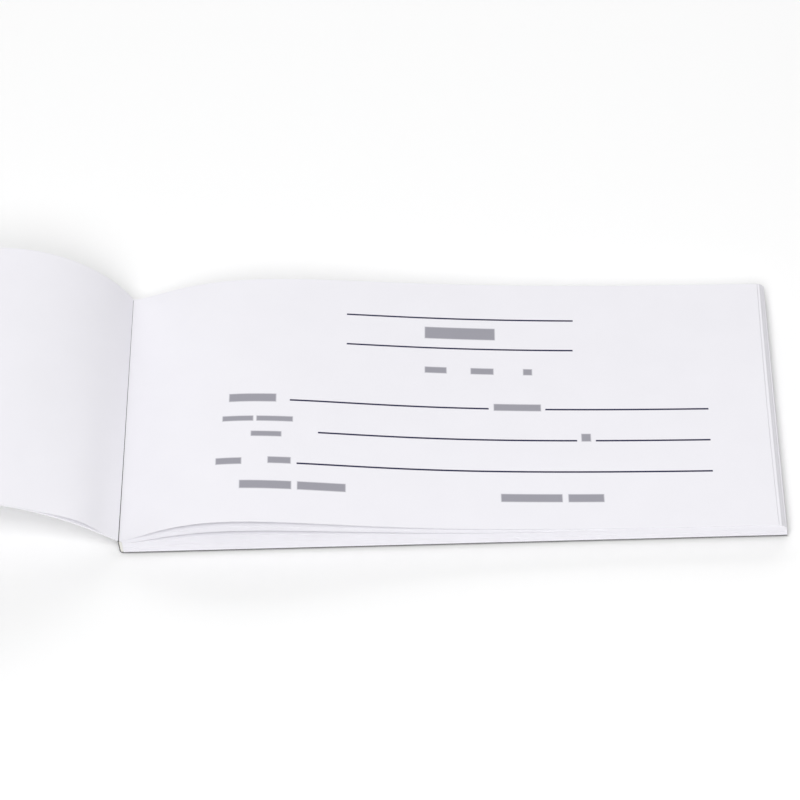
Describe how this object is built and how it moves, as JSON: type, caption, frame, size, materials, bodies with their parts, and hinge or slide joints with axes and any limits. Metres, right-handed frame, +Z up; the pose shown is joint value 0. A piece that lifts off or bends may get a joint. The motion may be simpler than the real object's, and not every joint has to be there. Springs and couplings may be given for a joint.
{
  "type": "voucher_book",
  "caption": "Open glued voucher book with a soft front cover and a back board: bowed printed leaves to the right of the spine, turned leaves arching to the left",
  "frame": {"origin": "centre of the back cover's underside, where the block lies on the table", "axes": "+X from the spine to the fore-edge, +Y from the front edge to the back edge, +Z up from the table"},
  "size_m": [0.3436, 0.085, 0.0267],
  "materials": {
    "leaf_paper": "matte",
    "cover_card": "satin",
    "cover_board": "matte",
    "binding_glue": "satin"
  },
  "bodies": {
    "block": {"back_cover": "cover_board", "cover_spine": "cover_card", "binding_glue": "binding_glue"},
    "front_cover": {"front_cover": "cover_card"},
    "leaf_01": {"leaf_01": "leaf_paper"},
    "leaf_02": {"leaf_02": "leaf_paper"},
    "leaf_03": {"leaf_03": "leaf_paper"},
    "leaf_04": {"leaf_04": "leaf_paper"},
    "leaf_05": {"leaf_05": "leaf_paper"},
    "leaf_06": {"leaf_06": "leaf_paper"},
    "leaf_07": {"leaf_07": "leaf_paper"},
    "leaf_08": {"leaf_08": "leaf_paper"},
    "leaf_09": {"leaf_09": "leaf_paper"},
    "leaf_10": {"leaf_10": "leaf_paper"},
    "leaf_11": {"leaf_11": "leaf_paper"},
    "leaf_12": {"leaf_12": "leaf_paper"},
    "leaf_13": {"leaf_13": "leaf_paper"},
    "leaf_14": {"leaf_14": "leaf_paper"},
    "leaf_15": {"leaf_15": "leaf_paper"},
    "leaf_16": {"leaf_16": "leaf_paper"},
    "leaf_17": {"leaf_17": "leaf_paper"},
    "leaf_18": {"leaf_18": "leaf_paper"},
    "leaf_19": {"leaf_19": "leaf_paper"},
    "leaf_20": {"leaf_20": "leaf_paper"},
    "leaf_21": {"leaf_21": "leaf_paper"},
    "leaf_22": {"leaf_22": "leaf_paper"},
    "leaf_23": {"leaf_23": "leaf_paper"},
    "leaf_24": {"leaf_24": "leaf_paper"},
    "leaf_25": {"leaf_25": "leaf_paper"},
    "leaf_26": {"leaf_26": "leaf_paper"},
    "leaf_27": {"leaf_27": "leaf_paper"},
    "leaf_28": {"leaf_28": "leaf_paper"},
    "leaf_29": {"leaf_29": "leaf_paper"},
    "leaf_30": {"leaf_30": "leaf_paper"},
    "leaf_31": {"leaf_31": "leaf_paper"},
    "leaf_32": {"leaf_32": "leaf_paper"},
    "leaf_33": {"leaf_33": "leaf_paper"},
    "leaf_34": {"leaf_34": "leaf_paper"},
    "leaf_35": {"leaf_35": "leaf_paper"},
    "leaf_36": {"leaf_36": "leaf_paper"},
    "leaf_37": {"leaf_37": "leaf_paper"},
    "leaf_38": {"leaf_38": "leaf_paper"},
    "leaf_39": {"leaf_39": "leaf_paper"},
    "leaf_40": {"leaf_40": "leaf_paper"},
    "leaf_41": {"leaf_41": "leaf_paper"},
    "leaf_42": {"leaf_42": "leaf_paper"},
    "leaf_43": {"leaf_43": "leaf_paper"},
    "leaf_44": {"leaf_44": "leaf_paper"},
    "leaf_45": {"leaf_45": "leaf_paper"},
    "leaf_46": {"leaf_46": "leaf_paper"},
    "leaf_47": {"leaf_47": "leaf_paper"},
    "leaf_48": {"leaf_48": "leaf_paper"},
    "leaf_49": {"leaf_49": "leaf_paper"},
    "leaf_50": {"leaf_50": "leaf_paper"}
  },
  "joints": [
    {"name": "cover_turn", "type": "hinge", "parent": "block", "child": "front_cover", "pos_m": [-0.08871, 0, 0.00422], "axis": [0, -1, 0], "range_deg": [-175, 0], "deforming": ["front_cover"]},
    {"name": "leaf_01_turn", "type": "hinge", "parent": "block", "child": "leaf_01", "pos_m": [-0.08848, 0, 0.0044], "axis": [0, -1, 0], "range_deg": [-176, 0], "deforming": ["leaf_01"]},
    {"name": "leaf_02_turn", "type": "hinge", "parent": "block", "child": "leaf_02", "pos_m": [-0.08838, 0, 0.00447], "axis": [0, -1, 0], "range_deg": [-177, 0], "deforming": ["leaf_02"]},
    {"name": "leaf_turn", "type": "hinge", "parent": "block", "child": "leaf_03", "pos_m": [-0.08822, 0, 0.00429], "axis": [0, -1, 0], "range_deg": [0, 105]},
    {"name": "leaf_04_turn", "type": "hinge", "parent": "block", "child": "leaf_04", "pos_m": [-0.0881, 0, 0.00421], "axis": [0, -1, 0], "range_deg": [0, 76.43]},
    {"name": "leaf_05_turn", "type": "hinge", "parent": "block", "child": "leaf_05", "pos_m": [-0.08798, 0, 0.00413], "axis": [0, -1, 0], "range_deg": [0, 56.37]},
    {"name": "leaf_06_turn", "type": "hinge", "parent": "block", "child": "leaf_06", "pos_m": [-0.08786, 0, 0.00404], "axis": [0, -1, 0], "range_deg": [0, 42.26]},
    {"name": "leaf_07_turn", "type": "hinge", "parent": "block", "child": "leaf_07", "pos_m": [-0.08774, 0, 0.00396], "axis": [0, -1, 0], "range_deg": [0, 32.31]},
    {"name": "leaf_08_turn", "type": "hinge", "parent": "block", "child": "leaf_08", "pos_m": [-0.08762, 0, 0.00388], "axis": [0, -1, 0], "range_deg": [0, 25.29]},
    {"name": "leaf_09_turn", "type": "hinge", "parent": "block", "child": "leaf_09", "pos_m": [-0.0875, 0, 0.0038], "axis": [0, -1, 0], "range_deg": [0, 20.3]},
    {"name": "leaf_10_turn", "type": "hinge", "parent": "block", "child": "leaf_10", "pos_m": [-0.0875, 0, 0.00372], "axis": [0, -1, 0], "range_deg": [0, 16.75]},
    {"name": "leaf_11_turn", "type": "hinge", "parent": "block", "child": "leaf_11", "pos_m": [-0.0875, 0, 0.00364], "axis": [0, -1, 0], "range_deg": [0, 14.2]},
    {"name": "leaf_12_turn", "type": "hinge", "parent": "block", "child": "leaf_12", "pos_m": [-0.0875, 0, 0.00356], "axis": [0, -1, 0], "range_deg": [0, 12.34]},
    {"name": "leaf_13_turn", "type": "hinge", "parent": "block", "child": "leaf_13", "pos_m": [-0.0875, 0, 0.00348], "axis": [0, -1, 0], "range_deg": [0, 10.98]},
    {"name": "leaf_14_turn", "type": "hinge", "parent": "block", "child": "leaf_14", "pos_m": [-0.0875, 0, 0.0034], "axis": [0, -1, 0], "range_deg": [0, 9.96]},
    {"name": "leaf_15_turn", "type": "hinge", "parent": "block", "child": "leaf_15", "pos_m": [-0.0875, 0, 0.00331], "axis": [0, -1, 0], "range_deg": [0, 9.18]},
    {"name": "leaf_16_turn", "type": "hinge", "parent": "block", "child": "leaf_16", "pos_m": [-0.0875, 0, 0.00323], "axis": [0, -1, 0], "range_deg": [0, 8.57]},
    {"name": "leaf_17_turn", "type": "hinge", "parent": "block", "child": "leaf_17", "pos_m": [-0.0875, 0, 0.00315], "axis": [0, -1, 0], "range_deg": [0, 8.08]},
    {"name": "leaf_18_turn", "type": "hinge", "parent": "block", "child": "leaf_18", "pos_m": [-0.0875, 0, 0.00307], "axis": [0, -1, 0], "range_deg": [0, 7.67]},
    {"name": "leaf_19_turn", "type": "hinge", "parent": "block", "child": "leaf_19", "pos_m": [-0.0875, 0, 0.00299], "axis": [0, -1, 0], "range_deg": [0, 7.31]},
    {"name": "leaf_20_turn", "type": "hinge", "parent": "block", "child": "leaf_20", "pos_m": [-0.0875, 0, 0.00291], "axis": [0, -1, 0], "range_deg": [0, 7]},
    {"name": "leaf_21_turn", "type": "hinge", "parent": "block", "child": "leaf_21", "pos_m": [-0.0875, 0, 0.00283], "axis": [0, -1, 0], "range_deg": [0, 6.72]},
    {"name": "leaf_22_turn", "type": "hinge", "parent": "block", "child": "leaf_22", "pos_m": [-0.0875, 0, 0.00275], "axis": [0, -1, 0], "range_deg": [0, 6.45]},
    {"name": "leaf_23_turn", "type": "hinge", "parent": "block", "child": "leaf_23", "pos_m": [-0.0875, 0, 0.00267], "axis": [0, -1, 0], "range_deg": [0, 6.2]},
    {"name": "leaf_24_turn", "type": "hinge", "parent": "block", "child": "leaf_24", "pos_m": [-0.0875, 0, 0.00259], "axis": [0, -1, 0], "range_deg": [0, 5.96]},
    {"name": "leaf_25_turn", "type": "hinge", "parent": "block", "child": "leaf_25", "pos_m": [-0.0875, 0, 0.0025], "axis": [0, -1, 0], "range_deg": [0, 5.72]},
    {"name": "leaf_26_turn", "type": "hinge", "parent": "block", "child": "leaf_26", "pos_m": [-0.0875, 0, 0.00242], "axis": [0, -1, 0], "range_deg": [0, 5.49]},
    {"name": "leaf_27_turn", "type": "hinge", "parent": "block", "child": "leaf_27", "pos_m": [-0.0875, 0, 0.00234], "axis": [0, -1, 0], "range_deg": [0, 5.27]},
    {"name": "leaf_28_turn", "type": "hinge", "parent": "block", "child": "leaf_28", "pos_m": [-0.0875, 0, 0.00226], "axis": [0, -1, 0], "range_deg": [0, 5.04]},
    {"name": "leaf_29_turn", "type": "hinge", "parent": "block", "child": "leaf_29", "pos_m": [-0.0875, 0, 0.00218], "axis": [0, -1, 0], "range_deg": [0, 4.82]},
    {"name": "leaf_30_turn", "type": "hinge", "parent": "block", "child": "leaf_30", "pos_m": [-0.0875, 0, 0.0021], "axis": [0, -1, 0], "range_deg": [0, 4.6]},
    {"name": "leaf_31_turn", "type": "hinge", "parent": "block", "child": "leaf_31", "pos_m": [-0.0875, 0, 0.00202], "axis": [0, -1, 0], "range_deg": [0, 4.38]},
    {"name": "leaf_32_turn", "type": "hinge", "parent": "block", "child": "leaf_32", "pos_m": [-0.0875, 0, 0.00194], "axis": [0, -1, 0], "range_deg": [0, 4.16]},
    {"name": "leaf_33_turn", "type": "hinge", "parent": "block", "child": "leaf_33", "pos_m": [-0.0875, 0, 0.00186], "axis": [0, -1, 0], "range_deg": [0, 3.94]},
    {"name": "leaf_34_turn", "type": "hinge", "parent": "block", "child": "leaf_34", "pos_m": [-0.0875, 0, 0.00178], "axis": [0, -1, 0], "range_deg": [0, 3.72]},
    {"name": "leaf_35_turn", "type": "hinge", "parent": "block", "child": "leaf_35", "pos_m": [-0.0875, 0, 0.00169], "axis": [0, -1, 0], "range_deg": [0, 3.5]},
    {"name": "leaf_36_turn", "type": "hinge", "parent": "block", "child": "leaf_36", "pos_m": [-0.0875, 0, 0.00161], "axis": [0, -1, 0], "range_deg": [0, 3.28]},
    {"name": "leaf_37_turn", "type": "hinge", "parent": "block", "child": "leaf_37", "pos_m": [-0.0875, 0, 0.00153], "axis": [0, -1, 0], "range_deg": [0, 3.06]},
    {"name": "leaf_38_turn", "type": "hinge", "parent": "block", "child": "leaf_38", "pos_m": [-0.0875, 0, 0.00145], "axis": [0, -1, 0], "range_deg": [0, 2.84]},
    {"name": "leaf_39_turn", "type": "hinge", "parent": "block", "child": "leaf_39", "pos_m": [-0.0875, 0, 0.00137], "axis": [0, -1, 0], "range_deg": [0, 2.63]},
    {"name": "leaf_40_turn", "type": "hinge", "parent": "block", "child": "leaf_40", "pos_m": [-0.0875, 0, 0.00129], "axis": [0, -1, 0], "range_deg": [0, 2.41]},
    {"name": "leaf_41_turn", "type": "hinge", "parent": "block", "child": "leaf_41", "pos_m": [-0.0875, 0, 0.00121], "axis": [0, -1, 0], "range_deg": [0, 2.19]},
    {"name": "leaf_42_turn", "type": "hinge", "parent": "block", "child": "leaf_42", "pos_m": [-0.0875, 0, 0.00113], "axis": [0, -1, 0], "range_deg": [0, 1.97]},
    {"name": "leaf_43_turn", "type": "hinge", "parent": "block", "child": "leaf_43", "pos_m": [-0.0875, 0, 0.00105], "axis": [0, -1, 0], "range_deg": [0, 1.75]},
    {"name": "leaf_44_turn", "type": "hinge", "parent": "block", "child": "leaf_44", "pos_m": [-0.0875, 0, 0.00097], "axis": [0, -1, 0], "range_deg": [0, 1.53]},
    {"name": "leaf_45_turn", "type": "hinge", "parent": "block", "child": "leaf_45", "pos_m": [-0.0875, 0, 0.00089], "axis": [0, -1, 0], "range_deg": [0, 1.31]},
    {"name": "leaf_46_turn", "type": "hinge", "parent": "block", "child": "leaf_46", "pos_m": [-0.0875, 0, 0.0008], "axis": [0, -1, 0], "range_deg": [0, 1.09]},
    {"name": "leaf_47_turn", "type": "hinge", "parent": "block", "child": "leaf_47", "pos_m": [-0.0875, 0, 0.00072], "axis": [0, -1, 0], "range_deg": [0, 0.8748]},
    {"name": "leaf_48_turn", "type": "hinge", "parent": "block", "child": "leaf_48", "pos_m": [-0.0875, 0, 0.00064], "axis": [0, -1, 0], "range_deg": [0, 0.6563]},
    {"name": "leaf_49_turn", "type": "hinge", "parent": "block", "child": "leaf_49", "pos_m": [-0.0875, 0, 0.00056], "axis": [0, -1, 0], "range_deg": [0, 0.438]},
    {"name": "leaf_50_turn", "type": "hinge", "parent": "block", "child": "leaf_50", "pos_m": [-0.0875, 0, 0.00048], "axis": [0, -1, 0], "range_deg": [0, 0.2185]}
  ],
  "couplings": [
    {"joint": "leaf_01_turn", "follows": "cover_turn", "ratio": 1.0057},
    {"joint": "leaf_02_turn", "follows": "cover_turn", "ratio": 1.0114},
    {"joint": "leaf_04_turn", "follows": "leaf_turn", "ratio": 0.72792},
    {"joint": "leaf_05_turn", "follows": "leaf_turn", "ratio": 0.53683},
    {"joint": "leaf_06_turn", "follows": "leaf_turn", "ratio": 0.40245},
    {"joint": "leaf_07_turn", "follows": "leaf_turn", "ratio": 0.30776},
    {"joint": "leaf_08_turn", "follows": "leaf_turn", "ratio": 0.24085},
    {"joint": "leaf_09_turn", "follows": "leaf_turn", "ratio": 0.19338},
    {"joint": "leaf_10_turn", "follows": "leaf_turn", "ratio": 0.15954},
    {"joint": "leaf_11_turn", "follows": "leaf_turn", "ratio": 0.13522},
    {"joint": "leaf_12_turn", "follows": "leaf_turn", "ratio": 0.11757},
    {"joint": "leaf_13_turn", "follows": "leaf_turn", "ratio": 0.10459},
    {"joint": "leaf_14_turn", "follows": "leaf_turn", "ratio": 0.09488},
    {"joint": "leaf_15_turn", "follows": "leaf_turn", "ratio": 0.08746},
    {"joint": "leaf_16_turn", "follows": "leaf_turn", "ratio": 0.08164},
    {"joint": "leaf_17_turn", "follows": "leaf_turn", "ratio": 0.07694},
    {"joint": "leaf_18_turn", "follows": "leaf_turn", "ratio": 0.07302},
    {"joint": "leaf_19_turn", "follows": "leaf_turn", "ratio": 0.06966},
    {"joint": "leaf_20_turn", "follows": "leaf_turn", "ratio": 0.06668},
    {"joint": "leaf_21_turn", "follows": "leaf_turn", "ratio": 0.06397},
    {"joint": "leaf_22_turn", "follows": "leaf_turn", "ratio": 0.06144},
    {"joint": "leaf_23_turn", "follows": "leaf_turn", "ratio": 0.05905},
    {"joint": "leaf_24_turn", "follows": "leaf_turn", "ratio": 0.05675},
    {"joint": "leaf_25_turn", "follows": "leaf_turn", "ratio": 0.05452},
    {"joint": "leaf_26_turn", "follows": "leaf_turn", "ratio": 0.05233},
    {"joint": "leaf_27_turn", "follows": "leaf_turn", "ratio": 0.05017},
    {"joint": "leaf_28_turn", "follows": "leaf_turn", "ratio": 0.04804},
    {"joint": "leaf_29_turn", "follows": "leaf_turn", "ratio": 0.04592},
    {"joint": "leaf_30_turn", "follows": "leaf_turn", "ratio": 0.04381},
    {"joint": "leaf_31_turn", "follows": "leaf_turn", "ratio": 0.04171},
    {"joint": "leaf_32_turn", "follows": "leaf_turn", "ratio": 0.03961},
    {"joint": "leaf_33_turn", "follows": "leaf_turn", "ratio": 0.03752},
    {"joint": "leaf_34_turn", "follows": "leaf_turn", "ratio": 0.03543},
    {"joint": "leaf_35_turn", "follows": "leaf_turn", "ratio": 0.03334},
    {"joint": "leaf_36_turn", "follows": "leaf_turn", "ratio": 0.03126},
    {"joint": "leaf_37_turn", "follows": "leaf_turn", "ratio": 0.02917},
    {"joint": "leaf_38_turn", "follows": "leaf_turn", "ratio": 0.02709},
    {"joint": "leaf_39_turn", "follows": "leaf_turn", "ratio": 0.025},
    {"joint": "leaf_40_turn", "follows": "leaf_turn", "ratio": 0.02292},
    {"joint": "leaf_41_turn", "follows": "leaf_turn", "ratio": 0.02083},
    {"joint": "leaf_42_turn", "follows": "leaf_turn", "ratio": 0.01875},
    {"joint": "leaf_43_turn", "follows": "leaf_turn", "ratio": 0.01667},
    {"joint": "leaf_44_turn", "follows": "leaf_turn", "ratio": 0.01458},
    {"joint": "leaf_45_turn", "follows": "leaf_turn", "ratio": 0.0125},
    {"joint": "leaf_46_turn", "follows": "leaf_turn", "ratio": 0.01042},
    {"joint": "leaf_47_turn", "follows": "leaf_turn", "ratio": 0.00833},
    {"joint": "leaf_48_turn", "follows": "leaf_turn", "ratio": 0.00625},
    {"joint": "leaf_49_turn", "follows": "leaf_turn", "ratio": 0.00417},
    {"joint": "leaf_50_turn", "follows": "leaf_turn", "ratio": 0.00208}
  ]
}
